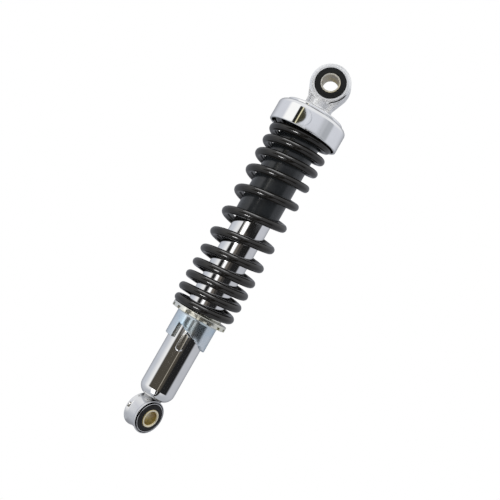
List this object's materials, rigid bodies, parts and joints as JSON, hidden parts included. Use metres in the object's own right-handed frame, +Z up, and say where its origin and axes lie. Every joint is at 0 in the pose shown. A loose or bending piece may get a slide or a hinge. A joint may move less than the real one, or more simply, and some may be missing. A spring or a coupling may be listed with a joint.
{
  "type": "motorcycle rear shock absorber",
  "caption": "Motorcycle rear shock absorber: coil spring over a chrome twin-tube damper, with a cam preload collar, chrome spring cap, black dust cover and rubber-bushed eyes.",
  "frame": {"origin": "centre of the lower eye's bolt hole", "axes": "+Z up the damper axis to the upper eye; the lower bolt hole lies along Y"},
  "size_m": [0.0638, 0.0638, 0.3526],
  "materials": {
    "chrome_tube": "bright chrome plate over drawn tube",
    "chrome_cap": "bright chrome plate over pressed steel",
    "satin_chrome": "satin chrome plate",
    "cast_aluminium": "fine-blasted die casting, clear lacquer",
    "machined_aluminium": "as machined",
    "clear_zinc": "clear blue zinc plate",
    "yellow_zinc": "yellow passivated zinc plate",
    "plain_steel": "oiled steel",
    "spring_steel": "blue-grey tempered steel",
    "hard_chrome": "ground hard chrome",
    "gloss_black": "gloss black powder coat",
    "satin_black": "satin black paint",
    "black_rubber": "matt moulded rubber",
    "bump_rubber": "matt cellular rubber",
    "bearing_bronze": "sintered bearing liner",
    "natural_nylon": "natural nylon"
  },
  "bodies": {
    "damper_body": {"damper_tube": "chrome_tube", "lower_eye": "satin_chrome", "lower_rubber_bush": "black_rubber", "inner_cylinder": "plain_steel", "base_valve_body": "machined_aluminium", "base_valve_rivet": "plain_steel", "base_valve_shims": "spring_steel", "base_check_spring": "spring_steel", "rod_guide": "machined_aluminium", "rod_guide_bush": "bearing_bronze", "rod_guide_o_ring": "black_rubber", "oil_seal": "black_rubber", "seal_garter_spring": "spring_steel", "seal_cap": "plain_steel"},
    "lower_sleeve": {"lower_sleeve": "yellow_zinc"},
    "base_check": {"base_check_plate": "spring_steel"},
    "spring": {"main_spring": "gloss_black"},
    "collar": {"preload_collar": "clear_zinc"},
    "spring_seat": {"spring_insulator": "black_rubber"},
    "upper_mount": {"upper_eye": "cast_aluminium", "upper_rubber_bush": "black_rubber", "spring_cap": "chrome_cap", "dust_cover": "satin_black", "clamp_washer": "clear_zinc", "rod_lock_nut": "clear_zinc", "bump_stop_plate": "clear_zinc", "bump_stop": "bump_rubber", "piston_rod": "hard_chrome", "rebound_stop": "natural_nylon", "rebound_stop_clip": "spring_steel", "check_stop": "plain_steel", "piston_check_spring": "spring_steel", "piston": "machined_aluminium", "piston_ring": "bearing_bronze", "rebound_shims": "spring_steel", "piston_nut": "plain_steel"},
    "piston_check": {"piston_check_plate": "spring_steel"},
    "upper_sleeve": {"upper_sleeve": "yellow_zinc"}
  },
  "joints": [
    {"name": "damper_travel", "type": "slide", "parent": "damper_body", "child": "spring_seat", "axis": [0, 0, -1], "range_m": [0, 0.065], "stiffness_N_per_m": 14000, "springref_m": -0.012, "deforming": ["main_spring"]},
    {"name": "rod_swivel", "type": "hinge", "parent": "spring_seat", "child": "upper_mount", "pos_m": [0, 0, 0.32], "axis": [0, 0, 1], "continuous": true},
    {"name": "collar_lift", "type": "slide", "parent": "damper_body", "child": "spring", "axis": [0, 0, 1], "range_m": [-0.0029, 0.0087]},
    {"name": "collar_turn", "type": "hinge", "parent": "spring", "child": "collar", "pos_m": [0, 0, 0.08], "axis": [0, 0, -1], "range_deg": [-25, 75]},
    {"name": "lower_bush_twist", "type": "hinge", "parent": "damper_body", "child": "lower_sleeve", "pos_m": [0, 0, 0], "axis": [0, -1, 0], "range_deg": [-15, 15]},
    {"name": "upper_bush_twist", "type": "hinge", "parent": "upper_mount", "child": "upper_sleeve", "pos_m": [0, 0, 0.32], "axis": [-0.7986, -0.6018, 0], "range_deg": [-15, 15]},
    {"name": "piston_check_lift", "type": "slide", "parent": "upper_mount", "child": "piston_check", "axis": [0, 0, 1], "range_m": [0, 0.0008], "deforming": ["piston_check_spring"]},
    {"name": "base_check_lift", "type": "slide", "parent": "damper_body", "child": "base_check", "axis": [0, 0, 1], "range_m": [0, 0.0008], "deforming": ["base_check_spring"]}
  ],
  "couplings": [
    {"joint": "collar_turn", "follows": "collar_lift", "rad_per_m": 150.46}
  ]
}
